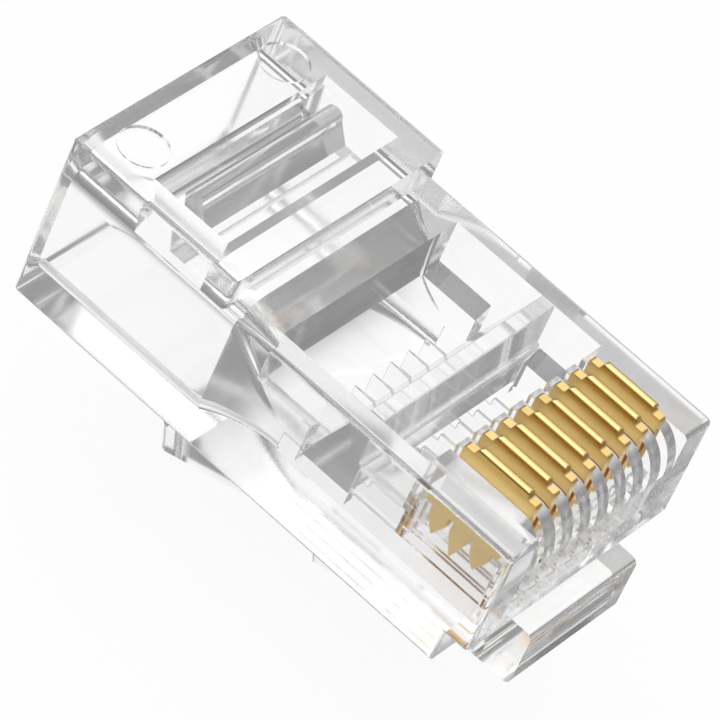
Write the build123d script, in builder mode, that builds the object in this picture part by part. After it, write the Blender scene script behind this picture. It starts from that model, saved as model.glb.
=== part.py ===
"""Eight-way modular plug for round network cable, as supplied, before it is crimped.

Millimetres. The origin is the datum of the plug: the plane of the nose, the plane of the
underside of the body and the centre plane meet there. +X runs across the contacts, +Y from
the nose to the cable end, and +Z up to the side that carries the contacts.

The body is one clear moulding. Its latch and its two strain-relief bars are moulded with it
and move on thin webs, so each of the three is a solid of its own, cut free at its web.
"""

import os
from math import cos, radians, sin

from build123d import *

# Outside of the body
body_width = 11.68
body_length = 21.6
body_height = 6.5
hump_length = 8.0
hump_rise = 1.4
nose_step_length = 1.1
nose_step_height = 1.5
outer_round = 0.22

# Cable cavity, the funnel in front of it and its mouth
side_wall = 0.94
cavity_floor = 1.0
cavity_roof_wall = 1.7
cavity_corner = 0.85
cavity_front = 13.3
mouth_chamfer = 0.35
funnel_front = 10.05
funnel_sections = 4

# Wire channels and the pointed dividers between them
contact_count = 8
contact_pitch = 1.02
channel_width = 0.86
channel_floor = 1.97
channel_ceiling = 2.83
channel_end = 0.6
divider_top = 2.9
divider_taper_front = 9.15
divider_tip = 0.06
shoulder_gap = 0.15
funnel_throat_rise = 0.7

# Conductor window, with a sloped shoulder along each side
window_front = 4.68
window_rear = 11.65
shoulder_top = 4.45
shoulder_bottom = 4.1

# Window over the cable jacket
jacket_window_front = 15.05
jacket_window_length = 3.55
jacket_window_draft = 0.4
jacket_window_wall = 1.09
jacket_window_ledge_depth = 0.45
jacket_window_ledge_length = 0.15

# Contact slots and the rounded ends of the ribs between them
slot_clearance = 0.025
slot_end_clearance = 0.08
slot_mouth_height = 4.75
rib_round_length = 1.3
nose_relief_margin = 0.12

# Ejector-pin marks on the hump
ejector_radius = 1.0
ejector_depth = 0.15
ejector_side_inset = 1.95
ejector_rear_inset = 1.7

# Contact blades
blade_thickness = 0.35
blade_front = 0.88
blade_length = 3.4
blade_shoulder_height = 7.1
blade_crown_rise = 0.3
blade_crown_front_inset = 0.45
blade_crown_rear_inset = 0.56
blade_crown_round = 0.13
blade_base_height = 4.95
blade_round = 0.12
tine_width = 0.76
tine_pitch = 0.97
tine_point_height = 4.45
tine_tip_height = 3.83
middle_tine_drop = 0.25
tine_tip_flat = 0.08

# Conductor bar, with a ledge along its front, and how far it is pressed down
conductor_bar_front = 6.75
conductor_bar_top_length = 0.62
conductor_bar_foot_length = 2.3
conductor_bar_height = 3.4
conductor_bar_ledge_depth = 1.9
conductor_bar_ledge_length = 0.13
conductor_bar_clearance = 0.04
conductor_bar_round = 0.06
conductor_bar_travel = 0.5

# Jacket bar
jacket_bar_length = 7.8
jacket_bar_bead_radius = 0.4
jacket_bar_bead_rear = 2.25
jacket_bar_web_thickness = 0.5
jacket_bar_web_clearance = 0.05
jacket_bar_web_reach = 1.35
jacket_bar_tooth_drop = 0.8
jacket_bar_tooth_length = 0.7

# Latch and the root that it flexes on
root_width = 6.2
root_reach = 0.9
root_depth = 1.2
root_top_drop = 0.05
root_round = 0.3
latch_thickness = 1.1
latch_angle = 17.0
latch_wide_width = 6.02
latch_wide_length = 7.4
latch_narrow_width = 3.25
latch_length = 15.6
latch_knuckle_clearance = 0.03
latch_shoulder_round = 0.35
latch_tip_round = 0.45

# Places worked out from the sizes above
half_width = body_width / 2
hump_height = body_height + hump_rise
hump_front = body_length - hump_length
cavity_half_width = half_width - side_wall
cavity_roof = hump_height - cavity_roof_wall
contact_row = [(i - (contact_count - 1) / 2) * contact_pitch for i in range(contact_count)]
throat_half_width = contact_row[-1] + channel_width / 2 + shoulder_gap
throat_roof = divider_top + funnel_throat_rise
channel_middle = (channel_floor + channel_ceiling) / 2
blade_rear = blade_front + blade_length
blade_top = blade_shoulder_height + blade_crown_rise
blade_foot = tine_tip_height - middle_tine_drop
slot_width = blade_thickness + 2 * slot_clearance
conductor_bar_rear = conductor_bar_front + conductor_bar_foot_length
conductor_bar_foot = body_height - conductor_bar_height
jacket_window_rear = jacket_window_front + jacket_window_length
hinge_radius = latch_thickness / 2
hinge_height = hinge_radius - root_depth
past = 1.0


def rounded_section(half, low, high, corner):
    """Rounded rectangle, symmetric about the centre plane, drawn in the current sketch."""
    with Locations((0, (low + high) / 2)):
        RectangleRounded(2 * half, high - low, corner)


with BuildPart() as root:
    with BuildSketch(Plane.YZ):
        with BuildLine():
            Polyline(
                (-root_reach, nose_step_height - root_top_drop),
                (outer_round, nose_step_height - root_top_drop),
                (outer_round, nose_step_height + outer_round),
                (nose_step_length + outer_round, nose_step_height + outer_round),
                (nose_step_length + outer_round, outer_round),
                (nose_step_length, 0),
                (nose_step_length, -root_depth),
                (-root_reach, -root_depth),
                close=True,
            )
        make_face()
        fillet(vertices().sort_by(Axis.X)[:2], root_round)
    extrude(amount=root_width / 2, both=True)
    with BuildSketch():
        with Locations((0, (nose_step_length + outer_round - root_reach) / 2)):
            Rectangle(root_width, nose_step_length + outer_round + root_reach)
        fillet(vertices().group_by(Axis.Y)[0], root_round)
    extrude(amount=body_height, both=True, mode=Mode.INTERSECT)


with BuildPart() as housing:
    with BuildSketch(Plane.YZ):
        with BuildLine():
            Polyline(
                (0, nose_step_height),
                (0, body_height),
                (hump_front, body_height),
                (hump_front, hump_height),
                (body_length, hump_height),
                (body_length, 0),
                (nose_step_length, 0),
                (nose_step_length, nose_step_height),
                close=True,
            )
        make_face()
    extrude(amount=half_width, both=True)
    long_edges = housing.edges().filter_by(Axis.Y)
    cross_edges = housing.edges().filter_by(Axis.X).group_by(Axis.Y)
    upright_edges = housing.edges().filter_by(Axis.Z)
    fillet(long_edges + upright_edges + cross_edges[0] + cross_edges[-1], outer_round)

    # Latch root, standing forward of the nose and below the body
    add(root.part)

    # Cable cavity with its lead-in
    with BuildSketch(Plane.XZ.offset(-cavity_front)):
        rounded_section(cavity_half_width, cavity_floor, cavity_roof, cavity_corner)
    extrude(amount=-(body_length - cavity_front + past), mode=Mode.SUBTRACT)
    with BuildSketch(Plane.XZ.offset(-(body_length - mouth_chamfer))):
        rounded_section(cavity_half_width, cavity_floor, cavity_roof, cavity_corner)
    with BuildSketch(Plane.XZ.offset(-body_length)):
        rounded_section(
            cavity_half_width + mouth_chamfer,
            cavity_floor - mouth_chamfer,
            cavity_roof + mouth_chamfer,
            cavity_corner + mouth_chamfer,
        )
    loft(mode=Mode.SUBTRACT)

    # Funnel, which flares from the wire channels out to the cavity
    for section in range(funnel_sections):
        share = section / (funnel_sections - 1)
        flare = share**2
        with BuildSketch(
            Plane.XZ.offset(-(funnel_front + share * (cavity_front - funnel_front)))
        ):
            rounded_section(
                throat_half_width + flare * (cavity_half_width - throat_half_width),
                channel_floor + flare * (cavity_floor - channel_floor),
                throat_roof + flare * (cavity_roof - throat_roof),
                cavity_corner * (1 + flare) / 2,
            )
    loft(mode=Mode.SUBTRACT)

    # Conductor window
    with BuildSketch(Plane.XZ.offset(-window_front)):
        with BuildLine():
            right_side = Polyline(
                (0, divider_top),
                (throat_half_width, divider_top),
                (throat_half_width, shoulder_bottom),
                (cavity_half_width, shoulder_top),
                (cavity_half_width, body_height + past),
                (0, body_height + past),
            )
            mirror(right_side, about=Plane.YZ)
        make_face()
    extrude(amount=-(window_rear - window_front), mode=Mode.SUBTRACT)

    # Pocket across the shoulders and dividers, which lets the conductor bar down
    pocket_floor = conductor_bar_foot - conductor_bar_travel - conductor_bar_clearance
    with BuildSketch(Plane.YZ):
        with BuildLine():
            Polyline(
                (conductor_bar_front - conductor_bar_clearance, shoulder_top + past),
                (conductor_bar_rear + conductor_bar_clearance, shoulder_top + past),
                (conductor_bar_rear + conductor_bar_clearance, pocket_floor),
                (conductor_bar_front - conductor_bar_clearance, pocket_floor),
                close=True,
            )
        make_face()
    extrude(amount=cavity_half_width, both=True, mode=Mode.SUBTRACT)

    # Window over the cable jacket, with a ledge in its drafted rear wall
    ledge_height = hump_height - jacket_window_ledge_depth
    with BuildSketch(Plane.YZ):
        with BuildLine():
            Polyline(
                (jacket_window_front, hump_height + past),
                (jacket_window_rear, hump_height + past),
                (jacket_window_rear, ledge_height),
                (jacket_window_rear - jacket_window_ledge_length, ledge_height),
                (jacket_window_rear - jacket_window_draft, cavity_roof - cavity_corner),
                (jacket_window_front, cavity_roof - cavity_corner),
                close=True,
            )
        make_face()
    extrude(amount=half_width - jacket_window_wall, both=True, mode=Mode.SUBTRACT)

    # Wire channels: blind under the contacts, open troughs behind them
    with BuildSketch(Plane.XZ.offset(-channel_end)):
        with Locations([(x, channel_middle) for x in contact_row]):
            Rectangle(channel_width, channel_ceiling - channel_floor)
    extrude(amount=-(funnel_front - channel_end), mode=Mode.SUBTRACT)
    trough_end_width = contact_pitch - divider_tip
    with BuildSketch(Plane.XY.offset(channel_floor)):
        for x in contact_row:
            with BuildLine():
                Polyline(
                    (x - channel_width / 2, window_front),
                    (x + channel_width / 2, window_front),
                    (x + channel_width / 2, divider_taper_front),
                    (x + trough_end_width / 2, funnel_front),
                    (x - trough_end_width / 2, funnel_front),
                    (x - channel_width / 2, divider_taper_front),
                    close=True,
                )
            make_face()
    extrude(amount=throat_roof - channel_floor, mode=Mode.SUBTRACT)

    # Contact slots: deep under each blade, shallow through the nose and into the window
    with BuildSketch(Plane.XY.offset(channel_middle)):
        with Locations([(x, (blade_front + blade_rear) / 2) for x in contact_row]):
            Rectangle(slot_width, blade_length + 2 * slot_end_clearance)
    extrude(amount=body_height - channel_middle + past, mode=Mode.SUBTRACT)
    with BuildSketch(Plane.XY.offset(slot_mouth_height)):
        with Locations([(x, window_front / 2) for x in contact_row]):
            Rectangle(slot_width, window_front + 2 * past)
    extrude(amount=body_height - slot_mouth_height + past, mode=Mode.SUBTRACT)

    # Rounded front ends of the ribs
    with BuildSketch(Plane.YZ):
        with BuildLine():
            rib_end = EllipticalCenterArc(
                (rib_round_length, slot_mouth_height),
                rib_round_length,
                body_height - slot_mouth_height,
                start_angle=90,
                arc_size=90,
            )
            Polyline(
                rib_end @ 1,
                (-past, slot_mouth_height),
                (-past, body_height + past),
                (rib_round_length, body_height + past),
                rib_end @ 0,
            )
        make_face()
    extrude(
        amount=throat_half_width + nose_relief_margin, both=True, mode=Mode.SUBTRACT
    )

    # Ejector-pin marks
    with BuildSketch(Plane.XY.offset(hump_height - ejector_depth)):
        ejector_x = half_width - ejector_side_inset
        ejector_y = body_length - ejector_rear_inset
        with Locations((-ejector_x, ejector_y), (ejector_x, ejector_y)):
            Circle(ejector_radius)
    extrude(amount=ejector_depth + past, mode=Mode.SUBTRACT)

    # Seat for the latch's knuckle, in the rear of the root
    with BuildSketch(Plane.YZ):
        with Locations((nose_step_length, hinge_height)):
            Circle(hinge_radius + latch_knuckle_clearance)
    extrude(amount=root_width / 2 + past, both=True, mode=Mode.SUBTRACT)
housing.part.label = "housing"


latch_plane = Plane(
    origin=(0, nose_step_length, hinge_height),
    x_dir=(1, 0, 0),
    z_dir=(0, sin(radians(latch_angle)), cos(radians(latch_angle))),
)
with BuildPart() as latch:
    with BuildSketch(latch_plane.offset(-hinge_radius)):
        with BuildLine():
            right_edge = Polyline(
                (0, 0),
                (latch_wide_width / 2, 0),
                (latch_wide_width / 2, latch_wide_length),
                (latch_narrow_width / 2, latch_wide_length),
                (latch_narrow_width / 2, latch_length),
                (0, latch_length),
            )
            mirror(right_edge, about=Plane.YZ)
        make_face()
        shoulder_corners = vertices().group_by(Axis.Y)[1]
        fillet(shoulder_corners, latch_shoulder_round)
        fillet(vertices().group_by(Axis.Y)[-1], latch_tip_round)
    extrude(amount=latch_thickness)
    with BuildSketch(Plane.YZ):
        with Locations((nose_step_length, hinge_height)):
            Circle(hinge_radius)
    extrude(amount=latch_wide_width / 2, both=True)
latch.part.label = "latch"


bar_top_front = conductor_bar_front + conductor_bar_ledge_length
ledge = body_height - conductor_bar_ledge_depth
with BuildPart() as conductor_bar:
    with BuildSketch(Plane.YZ):
        with BuildLine():
            Polyline(
                (bar_top_front, body_height),
                (bar_top_front + conductor_bar_top_length, body_height),
                (conductor_bar_rear, conductor_bar_foot),
                (conductor_bar_front, conductor_bar_foot),
                (conductor_bar_front, ledge),
                (bar_top_front, ledge),
                close=True,
            )
        make_face()
        fillet(vertices(), conductor_bar_round)
    extrude(amount=cavity_half_width - conductor_bar_clearance, both=True)
conductor_bar.part.label = "conductor_bar"


web_top = cavity_roof + jacket_bar_web_thickness
web_axis_y = jacket_window_front + jacket_bar_web_clearance + jacket_bar_web_thickness / 2
web_axis_z = cavity_roof + jacket_bar_web_thickness / 2
web_end = jacket_window_front + jacket_bar_web_reach
bead_y = jacket_window_front + jacket_bar_bead_rear
bead_z = hump_height - jacket_bar_bead_radius
with BuildPart() as jacket_bar:
    with BuildSketch(Plane.YZ):
        with BuildLine():
            Polyline(
                (web_axis_y, web_top),
                (web_end, web_top),
                (bead_y - jacket_bar_bead_radius, bead_z),
                (bead_y + jacket_bar_bead_radius, bead_z),
                (web_end + jacket_bar_tooth_length, cavity_roof - jacket_bar_tooth_drop),
                (web_end, cavity_roof - jacket_bar_tooth_drop),
                (web_end - jacket_bar_tooth_length / 2, cavity_roof),
                (web_axis_y, cavity_roof),
                close=True,
            )
        make_face()
        with Locations((bead_y, bead_z)):
            Circle(jacket_bar_bead_radius)
        with Locations((web_axis_y, web_axis_z)):
            Circle(jacket_bar_web_thickness / 2)
    extrude(amount=jacket_bar_length / 2, both=True)
jacket_bar.part.label = "jacket_bar"


def make_contact(x):
    """One contact blade in the slot at x: a crowned plate with three pointed tines."""
    with BuildPart() as blade:
        with BuildSketch(Plane.YZ.offset(x)):
            with BuildLine():
                Polyline(
                    (blade_front, blade_base_height),
                    (blade_front, blade_shoulder_height),
                    (blade_front + blade_crown_front_inset, blade_shoulder_height),
                    (blade_front + blade_crown_front_inset, blade_top),
                    (blade_rear - blade_crown_rear_inset, blade_top),
                    (blade_rear - blade_crown_rear_inset, blade_shoulder_height),
                    (blade_rear, blade_shoulder_height),
                    (blade_rear, blade_base_height),
                    close=True,
                )
            make_face()
            fillet(vertices(), blade_round)
            middle = (blade_front + blade_rear) / 2
            for step in (-1, 0, 1):
                centre = middle + step * tine_pitch
                tip = tine_tip_height - (middle_tine_drop if step == 0 else 0)
                with BuildLine():
                    Polyline(
                        (centre - tine_width / 2, blade_base_height + blade_round),
                        (centre - tine_width / 2, tine_point_height),
                        (centre - tine_tip_flat / 2, tip),
                        (centre + tine_tip_flat / 2, tip),
                        (centre + tine_width / 2, tine_point_height),
                        (centre + tine_width / 2, blade_base_height + blade_round),
                        close=True,
                    )
                make_face()
        extrude(amount=blade_thickness / 2, both=True)
        with BuildSketch(Plane.XZ.offset(-blade_front)):
            with Locations((x, (blade_foot + blade_top) / 2)):
                Rectangle(blade_thickness, blade_top - blade_foot)
            fillet(vertices().group_by(Axis.Y)[-1], blade_crown_round)
        extrude(amount=-blade_length, mode=Mode.INTERSECT)
    return blade


os.makedirs("parts", exist_ok=True)
export_step(housing.part, "parts/housing.step")
export_step(latch.part, "parts/latch.step")
export_step(conductor_bar.part, "parts/conductor_bar.step")
export_step(jacket_bar.part, "parts/jacket_bar.step")
for number, contact_x in enumerate(contact_row, start=1):
    contact = make_contact(contact_x)
    contact.part.label = f"contact_{number}"
    export_step(contact.part, f"parts/contact_{number}.step")
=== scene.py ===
"""Looks of a clear eight-way modular plug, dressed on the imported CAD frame.

Every length is in metres and in the frame of the CAD part: +X runs across the contacts,
+Y from the nose to the cable end, and +Z up to the side that carries the contacts.

The CAD solids have every shape of the plug, so no piece is added here. The moulding and
the contacts get their finishes, and the studio its floor, its room, its lamp and its camera.
"""

import logging
from dataclasses import dataclass
from typing import Any

import bpy
import numpy as np
from mathutils import Matrix, Vector


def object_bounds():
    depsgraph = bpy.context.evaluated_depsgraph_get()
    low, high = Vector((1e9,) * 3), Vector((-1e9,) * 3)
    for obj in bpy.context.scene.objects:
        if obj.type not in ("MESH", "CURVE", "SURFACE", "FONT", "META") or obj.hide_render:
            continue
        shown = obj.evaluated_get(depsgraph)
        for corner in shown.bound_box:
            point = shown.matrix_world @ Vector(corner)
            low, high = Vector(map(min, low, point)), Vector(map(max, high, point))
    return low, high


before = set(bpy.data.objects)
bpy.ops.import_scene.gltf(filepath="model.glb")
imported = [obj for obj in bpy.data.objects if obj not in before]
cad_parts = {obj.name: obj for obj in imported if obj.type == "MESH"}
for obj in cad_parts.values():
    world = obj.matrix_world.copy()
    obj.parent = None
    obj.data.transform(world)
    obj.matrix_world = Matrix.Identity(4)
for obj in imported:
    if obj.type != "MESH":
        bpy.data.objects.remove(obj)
cad_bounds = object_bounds()

log = logging.getLogger("modular_plug")

Triple = tuple[float, float, float]
Band = tuple[float, float]

WHITE = (1.0, 1.0, 1.0, 1.0)


class Value:
    """A number socket of a node tree that takes part in Python arithmetic."""

    def __init__(self, bench: "NodeBench", socket: bpy.types.NodeSocket) -> None:
        """Wraps a socket.

        Args:
            bench: the tree that the socket belongs to.
            socket: an output socket that carries one number.
        """
        self.bench = bench
        self.socket = socket

    def _with(
        self, operation: str, first: "Value | float", second: "Value | float"
    ) -> "Value":
        """Adds a Math node.

        Args:
            operation: the Math node's operation.
            first: a Value or a number.
            second: a Value or a number.

        Returns:
            The node's result.
        """
        node = self.bench.add(
            "ShaderNodeMath", {"operation": operation}, {0: first, 1: second}
        )
        return Value(self.bench, node.outputs[0])

    def __add__(self, other: "Value | float") -> "Value":
        """The sum."""
        return self._with("ADD", self, other)

    def __radd__(self, other: float) -> "Value":
        """The sum with a plain number first."""
        return self._with("ADD", other, self)

    def __sub__(self, other: "Value | float") -> "Value":
        """The difference."""
        return self._with("SUBTRACT", self, other)

    def __rsub__(self, other: float) -> "Value":
        """The difference from a plain number."""
        return self._with("SUBTRACT", other, self)

    def __mul__(self, other: "Value | float") -> "Value":
        """The product."""
        return self._with("MULTIPLY", self, other)

    def __rmul__(self, other: float) -> "Value":
        """The product with a plain number first."""
        return self._with("MULTIPLY", other, self)

    def __neg__(self) -> "Value":
        """The same size with the other sign."""
        return self * -1.0

    def largest(self, other: "Value | float") -> "Value":
        """The larger of the two, point by point."""
        return self._with("MAXIMUM", self, other)

    def smooth(self, low: float, high: float) -> "Value":
        """Goes smoothly from 0 at low to 1 at high.

        Args:
            low: the value that gives 0.
            high: the value that gives 1.

        Returns:
            The smooth step.
        """
        node = self.bench.add(
            "ShaderNodeMapRange",
            {"interpolation_type": "SMOOTHSTEP"},
            {"Value": self, "From Min": low, "From Max": high},
        )
        return Value(self.bench, node.outputs["Result"])

    def towards(self, other: "Value | float", share: "Value") -> "Value":
        """Blends from this value to another: this plus the share of the difference.

        Args:
            other: what the blend gives where the share is 1.
            share: from 0 to 1.

        Returns:
            The blend.
        """
        return self + (other - self) * share


class NodeBench:
    """One node tree, cleared, to which nodes are added by one method."""

    def __init__(self, tree: bpy.types.NodeTree) -> None:
        """Clears the tree.

        Args:
            tree: the node tree of a material or of the world.
        """
        tree.nodes.clear()
        self.tree = tree

    def add(
        self, kind: str, settings: dict[str, Any], inputs: dict[str | int, Any]
    ) -> bpy.types.Node:
        """Adds any node, sets it and then fills its sockets.

        Args:
            kind: the node's type.
            settings: the node's own settings; "stops" gives a ramp its stops.
            inputs: a number, a colour, a socket or a Value for each input, by its name
                or its number.

        Returns:
            The new node.
        """
        node = self.tree.nodes.new(kind)
        for name, setting in settings.items():
            if name == "stops":
                self._set_stops(node, setting)
            else:
                setattr(node, name, setting)
        for name, given in inputs.items():
            if isinstance(given, Value):
                given = given.socket
            if isinstance(given, bpy.types.NodeSocket):
                self.tree.links.new(given, node.inputs[name])
            else:
                node.inputs[name].default_value = given
        return node

    @staticmethod
    def _set_stops(node: bpy.types.Node, stops: list[tuple[float, Triple]]) -> None:
        """Gives a colour ramp its stops.

        Args:
            node: the ramp.
            stops: pairs of a place from 0 to 1 and a colour.
        """
        elements = node.color_ramp.elements
        while len(elements) < len(stops):
            elements.new(1.0)
        for element, (place, colour) in zip(elements, stops):
            element.position = place
            element.color = (*colour, 1.0)

    def value(
        self,
        kind: str,
        settings: dict[str, Any],
        inputs: dict[str | int, Any],
        output: str | int = 0,
    ) -> Value:
        """Adds a node and wraps one of its outputs.

        Args:
            kind: the node's type.
            settings: as for add.
            inputs: as for add.
            output: the output's name or number.

        Returns:
            The wrapped output.
        """
        return Value(self, self.add(kind, settings, inputs).outputs[output])


@dataclass(frozen=True)
class ClearPlastic:
    """Polished clear polycarbonate, with the faint flow lines of a moulding."""

    colour: Triple = (1.0, 1.0, 1.0)
    refraction: float = 1.585
    roughness: float = 0.08
    haze: float = 0.03
    haze_scale: float = 240.0
    haze_band: Band = (0.5, 0.8)
    ripple_scale: float = 320.0
    ripple_height: float = 0.00001
    ripple_strength: float = 0.3

    def material(self) -> bpy.types.Material:
        """Makes the material.

        Returns:
            A refracting material whose roughness and surface waver a little.
        """
        made = bpy.data.materials.new("clear_polycarbonate")
        made.use_nodes = True
        bench = NodeBench(made.node_tree)
        place = bench.add("ShaderNodeTexCoord", {}, {}).outputs["Object"]
        haze = bench.value(
            "ShaderNodeTexNoise", {}, {"Vector": place, "Scale": self.haze_scale}
        )
        ripple = bench.value(
            "ShaderNodeTexNoise", {}, {"Vector": place, "Scale": self.ripple_scale}
        )
        bump = bench.add(
            "ShaderNodeBump",
            {},
            {
                "Strength": self.ripple_strength,
                "Distance": self.ripple_height,
                "Height": ripple,
            },
        )
        plastic = bench.add(
            "ShaderNodeBsdfPrincipled",
            {},
            {
                "Base Color": (*self.colour, 1.0),
                "Roughness": self.roughness + self.haze * haze.smooth(*self.haze_band),
                "IOR": self.refraction,
                "Transmission Weight": 1.0,
                "Normal": bump.outputs["Normal"],
            },
        )
        bench.add(
            "ShaderNodeOutputMaterial", {}, {"Surface": plastic.outputs["BSDF"]}
        )
        return made


@dataclass(frozen=True)
class GoldPlate:
    """Bright gold plate on a stamped blade, with painted shade up the sides of its crown.

    The stamping marks run along the blade, so their noise is stretched along +Y. They take
    a share of the brightness, add a little roughness and raise the surface slightly.
    """

    bright: Triple = (0.96, 0.70, 0.29)
    # the darker gold, used for the stamping marks and for the painted shade on the crown's
    # sides
    deep_marks_and_shade: Triple = (0.66, 0.43, 0.13)
    roughness: float = 0.17
    marked_roughness: float = 0.1
    stamping_scale: float = 900.0
    stamping_stretch: Triple = (1.0, 0.25, 1.0)
    stamping_band: Band = (0.3, 0.6)
    stamping_share: float = 0.25
    stamping_height: float = 0.000002
    stamping_strength: float = 0.4
    # the heights over which painted shade darkens the blade's sides
    side_shade_band: Band = (0.0067, 0.0073)
    crown_band: Band = (0.2, 0.6)

    def material(self) -> bpy.types.Material:
        """Makes the material.

        Returns:
            A metal with painted shade: its colour darkens up the sides of the blade, where
                they
            stand out of the plastic, but not on top of its crown. It also wavers along the
            stamping marks.
        """
        made = bpy.data.materials.new("gold_plate")
        made.use_nodes = True
        bench = NodeBench(made.node_tree)
        spot = bench.add("ShaderNodeTexCoord", {}, {})
        place, facing = spot.outputs["Object"], spot.outputs["Normal"]
        grain = bench.add(
            "ShaderNodeMapping", {}, {"Vector": place, "Scale": self.stamping_stretch}
        )
        marks = bench.value(
            "ShaderNodeTexNoise",
            {},
            {"Vector": grain.outputs["Vector"], "Scale": self.stamping_scale},
        )
        height = bench.value("ShaderNodeSeparateXYZ", {}, {0: place}, "Z")
        upward = bench.value("ShaderNodeSeparateXYZ", {}, {0: facing}, "Z")
        # Painted shade: the sides below the crown's top are darkened in the colour, where
        # the real blade reflects a dark room.
        side = 1.0 - upward.smooth(*self.crown_band)
        painted_side_shade = height.smooth(*self.side_shade_band) * side
        unmarked = marks.smooth(*self.stamping_band)
        shine = 1.0 - painted_side_shade - self.stamping_share * (1.0 - unmarked)
        tone = bench.add(
            "ShaderNodeValToRGB",
            {"stops": [(0.0, self.deep_marks_and_shade), (1.0, self.bright)]},
            {"Fac": shine},
        )
        bump = bench.add(
            "ShaderNodeBump",
            {},
            {
                "Strength": self.stamping_strength,
                "Distance": self.stamping_height,
                "Height": marks,
            },
        )
        gold = bench.add(
            "ShaderNodeBsdfPrincipled",
            {},
            {
                "Base Color": tone.outputs["Color"],
                "Metallic": 1.0,
                "Roughness": self.roughness + self.marked_roughness * marks,
                "Normal": bump.outputs["Normal"],
            },
        )
        bench.add("ShaderNodeOutputMaterial", {}, {"Surface": gold.outputs["BSDF"]})
        return made


def dress_node(name: str, material: bpy.types.Material) -> None:
    """Gives a CAD node its finish.

    Args:
        name: the node's name.
        material: the finish.
    """
    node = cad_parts[name]
    node.data.materials.clear()
    node.data.materials.append(material)
    log.info("%s wears %s", name, material.name)


@dataclass(frozen=True)
class Moulding:
    """The clear housing, with the latch and the two bars that are moulded with it."""

    nodes: tuple[str, ...] = ("housing", "latch", "conductor_bar", "jacket_bar")
    finish: ClearPlastic = ClearPlastic()

    def dress(self) -> None:
        """Gives each of its nodes the clear plastic."""
        material = self.finish.material()
        for name in self.nodes:
            dress_node(name, material)


@dataclass(frozen=True)
class ContactRow:
    """The row of stamped blades in the slots of the nose."""

    count: int = 8
    finish: GoldPlate = GoldPlate()

    def dress(self) -> None:
        """Gives each blade the gold plate."""
        material = self.finish.material()
        for number in range(1, self.count + 1):
            dress_node(f"contact_{number}", material)


@dataclass(frozen=True)
class Floor:
    """A plain white floor just under the lowest point of the plug."""

    half_size: float = 0.6
    gap: float = 0.0002
    colour: Triple = (0.8, 0.8, 0.8)
    glow: float = 0.94

    def build(self) -> None:
        """Adds the floor as one square."""
        low = cad_bounds[0][2] - self.gap
        corners = np.array([[-1, -1], [1, -1], [1, 1], [-1, 1]]) * self.half_size
        mesh = bpy.data.meshes.new("floor")
        mesh.from_pydata([(x, y, low) for x, y in corners], [], [(0, 1, 2, 3)])
        mesh.materials.append(self._material())
        floor = bpy.data.objects.new("floor", mesh)
        bpy.context.scene.collection.objects.link(floor)
        log.info("floor at %.4f m", low)

    def _material(self) -> bpy.types.Material:
        """Makes the floor's material.

        Returns:
            A matt white that glows to the camera, so that it meets the white background
            and still keeps a share of the plug's shadow. It is clear to the rays that the
            plastic and the gold send on, so that they show the room instead.
        """
        made = bpy.data.materials.new("floor_white")
        made.use_nodes = True
        bench = NodeBench(made.node_tree)
        matt = bench.add("ShaderNodeBsdfDiffuse", {}, {"Color": (*self.colour, 1.0)})
        glow = bench.add("ShaderNodeEmission", {}, {"Color": WHITE, "Strength": 1.0})
        clear = bench.add("ShaderNodeBsdfTransparent", {}, {})
        path = bench.add("ShaderNodeLightPath", {}, {})
        camera = Value(bench, path.outputs["Is Camera Ray"])
        gloss = Value(bench, path.outputs["Is Glossy Ray"])
        through = Value(bench, path.outputs["Is Transmission Ray"])
        lit = bench.add(
            "ShaderNodeMixShader",
            {},
            {0: camera * self.glow, 1: matt.outputs[0], 2: glow.outputs[0]},
        )
        mixed = bench.add(
            "ShaderNodeMixShader",
            {},
            {0: gloss.largest(through), 1: lit.outputs[0], 2: clear.outputs[0]},
        )
        bench.add("ShaderNodeOutputMaterial", {}, {"Surface": mixed.outputs[0]})
        return made


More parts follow.
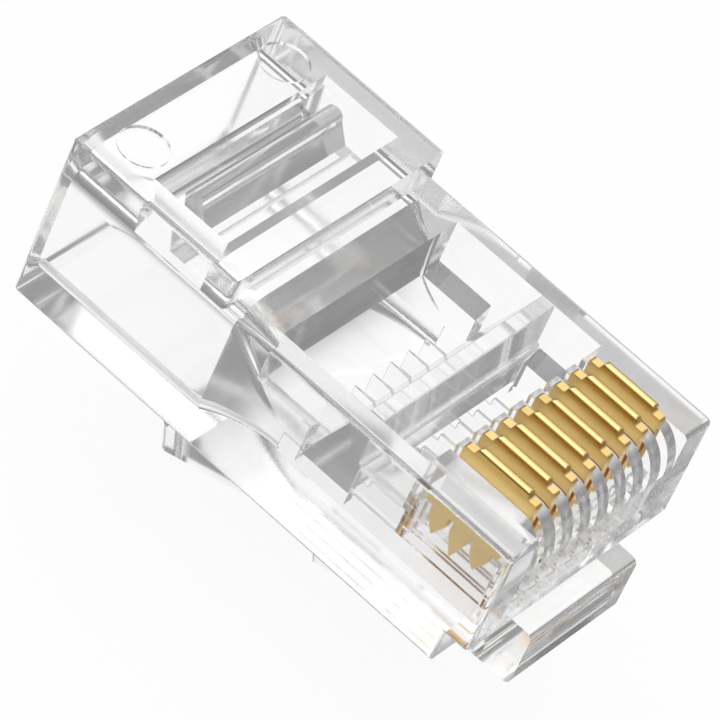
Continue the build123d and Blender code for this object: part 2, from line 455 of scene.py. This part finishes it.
@dataclass(frozen=True)
class Room:
    """The world: white to the camera, with darker walls for the plastic to bend.

    The ground and the ceiling are bright, the ground a little less so on the camera's side
    and straight below. Between them runs a dim horizon, lighter beyond the nose. A grey
    flag stands on the right, and a round window shines down from overhead.

    A level is a brightness, and a way is a direction. A band is where a smooth step starts
    and ends, in the ray's x, y or z, or in its cosine to the flag or the window.
    """

    ground_level: float = 1.0
    near_dim: float = 0.4
    near_band: Band = (0.0, 0.6)
    under_dim: float = 0.2
    under_band: Band = (0.75, 1.0)
    ground_band: Band = (0.3, 0.6)

    ceiling_level: float = 1.0
    ceiling_band: Band = (0.35, 0.75)

    horizon_level: float = 0.23
    nose_light: float = 0.5
    nose_band: Band = (0.35, 0.9)

    flag_level: float = 0.29
    flag_way: tuple[float, float] = (0.82, -0.57)
    flag_band: Band = (0.5, 0.72)
    flag_top: Band = (0.3, 0.6)

    window_light: float = 1.3
    window_way: Triple = (0.12, 0.28, 0.95)
    window_band: Band = (0.8, 0.92)

    def build(self) -> None:
        """Makes the world from the direction of each ray."""
        world = bpy.data.worlds.new("room")
        bpy.context.scene.world = world
        world.use_nodes = True
        bench = NodeBench(world.node_tree)
        way = bench.add("ShaderNodeTexCoord", {}, {}).outputs["Generated"]
        parts = bench.add("ShaderNodeSeparateXYZ", {}, {0: way})
        x, y, z = (Value(bench, parts.outputs[axis]) for axis in "XYZ")
        path = bench.add("ShaderNodeLightPath", {}, {})
        camera = Value(bench, path.outputs["Is Camera Ray"])
        lit = self._walls(x, y, z) + self.window_light * self._window(x, y, z)
        background = bench.add(
            "ShaderNodeBackground",
            {},
            {"Color": WHITE, "Strength": camera.largest(lit)},
        )
        bench.add("ShaderNodeOutputWorld", {}, {"Surface": background.outputs[0]})
        log.info("room and window")

    def _walls(self, x: Value, y: Value, z: Value) -> Value:
        """Works out the brightness of the ground, the ceiling, the horizon and the flag.

        Args:
            x: the direction's part across the contacts.
            y: its part towards the cable end.
            z: its part upwards.

        Returns:
            The brightness, without the window.
        """
        down = -z
        upper = z.smooth(*self.ceiling_band)
        ground = self.ground_level - self.near_dim * (-x).smooth(*self.near_band)
        ground = ground - self.under_dim * down.smooth(*self.under_band)
        bright = ground.towards(self.ceiling_level, upper)
        horizon = self.horizon_level + self.nose_light * (-y).smooth(*self.nose_band)
        away = down.smooth(*self.ground_band).largest(upper)
        walls = horizon.towards(bright, away)
        to_flag = x * self.flag_way[0] + y * self.flag_way[1]
        flag = to_flag.smooth(*self.flag_band) * (1.0 - z.smooth(*self.flag_top))
        return walls.towards(self.flag_level, flag)

    def _window(self, x: Value, y: Value, z: Value) -> Value:
        """Works out how far a direction points into the window.

        Args:
            x: the direction's part across the contacts.
            y: its part towards the cable end.
            z: its part upwards.

        Returns:
            1 in the window and 0 away from it.
        """
        across, along, up = self.window_way
        return (x * across + y * along + z * up).smooth(*self.window_band)


@dataclass(frozen=True)
class SoftLamp:
    """A square soft lamp that faces the plug and throws its shadow on the floor.

    It is hidden from the rays that the plastic and the gold send on, in which so small a
    light would leave grain. They show the room instead.
    """

    name: str = "key_softbox"
    power: float = 0.03
    size: float = 0.12
    place: Triple = (-0.06, 0.10, 0.16)

    def build(self) -> None:
        """Adds the lamp and turns it to the plug."""
        light = bpy.data.lights.new(self.name, "AREA")
        light.energy = self.power
        light.size = self.size
        lamp = bpy.data.objects.new(self.name, light)
        away = Vector(self.place).normalized()
        turn = away.to_track_quat("Z", "Y").to_matrix().to_4x4()
        lamp.matrix_world = Matrix.Translation(self.place) @ turn
        lamp.visible_glossy = lamp.visible_transmission = False
        bpy.context.scene.collection.objects.link(lamp)
        log.info("lamp %s of %.2f W", self.name, self.power)


@dataclass(frozen=True)
class PhotoCamera:
    """The camera that took the photograph, in the frame of the plug."""

    place: Triple = (-0.152672, -0.054065, 0.159974)
    right: Triple = (0.62165286, -0.72055741, 0.30715588)
    ahead: Triple = (0.66851486, 0.28370748, -0.6874576)
    focal_px: float = 6460.08
    image_px: float = 720.0
    sensor_mm: float = 36.0
    nearest: float = 0.001

    def build(self) -> None:
        """Adds the camera and makes it the scene's own."""
        data = bpy.data.cameras.new("photo_camera")
        data.sensor_width = self.sensor_mm
        data.lens = self.focal_px * self.sensor_mm / self.image_px
        data.clip_start = self.nearest
        camera = bpy.data.objects.new("photo_camera", data)
        right = Vector(self.right)
        back = -Vector(self.ahead)
        up = back.cross(right)
        turn = Matrix((right, up, back)).transposed().to_4x4()
        camera.matrix_world = Matrix.Translation(self.place) @ turn
        bpy.context.scene.collection.objects.link(camera)
        bpy.context.scene.camera = camera
        log.info("camera with a lens of %.0f mm", data.lens)


@dataclass(frozen=True)
class Studio:
    """Everything around the plug, and how far light is followed through it.

    Light crosses many walls of the clear plastic before it leaves, so it is followed for
    more bounces than usual.
    """

    floor: Floor = Floor()
    room: Room = Room()
    lamp: SoftLamp = SoftLamp()
    camera: PhotoCamera = PhotoCamera()
    most_bounces: int = 40
    clear_bounces: int = 32

    def build(self) -> None:
        """Sets the view and the bounces, and builds the camera, floor, room and lamp."""
        scene = bpy.context.scene
        scene.view_settings.view_transform = "Standard"
        scene.cycles.max_bounces = self.most_bounces
        scene.cycles.glossy_bounces = self.clear_bounces
        scene.cycles.transmission_bounces = self.clear_bounces
        self.camera.build()
        self.floor.build()
        self.room.build()
        self.lamp.build()


def main() -> None:
    """Builds the studio and dresses the plug."""
    logging.basicConfig(level=logging.INFO)
    Studio().build()
    Moulding().dress()
    ContactRow().dress()


if __name__ == "__main__":
    main()
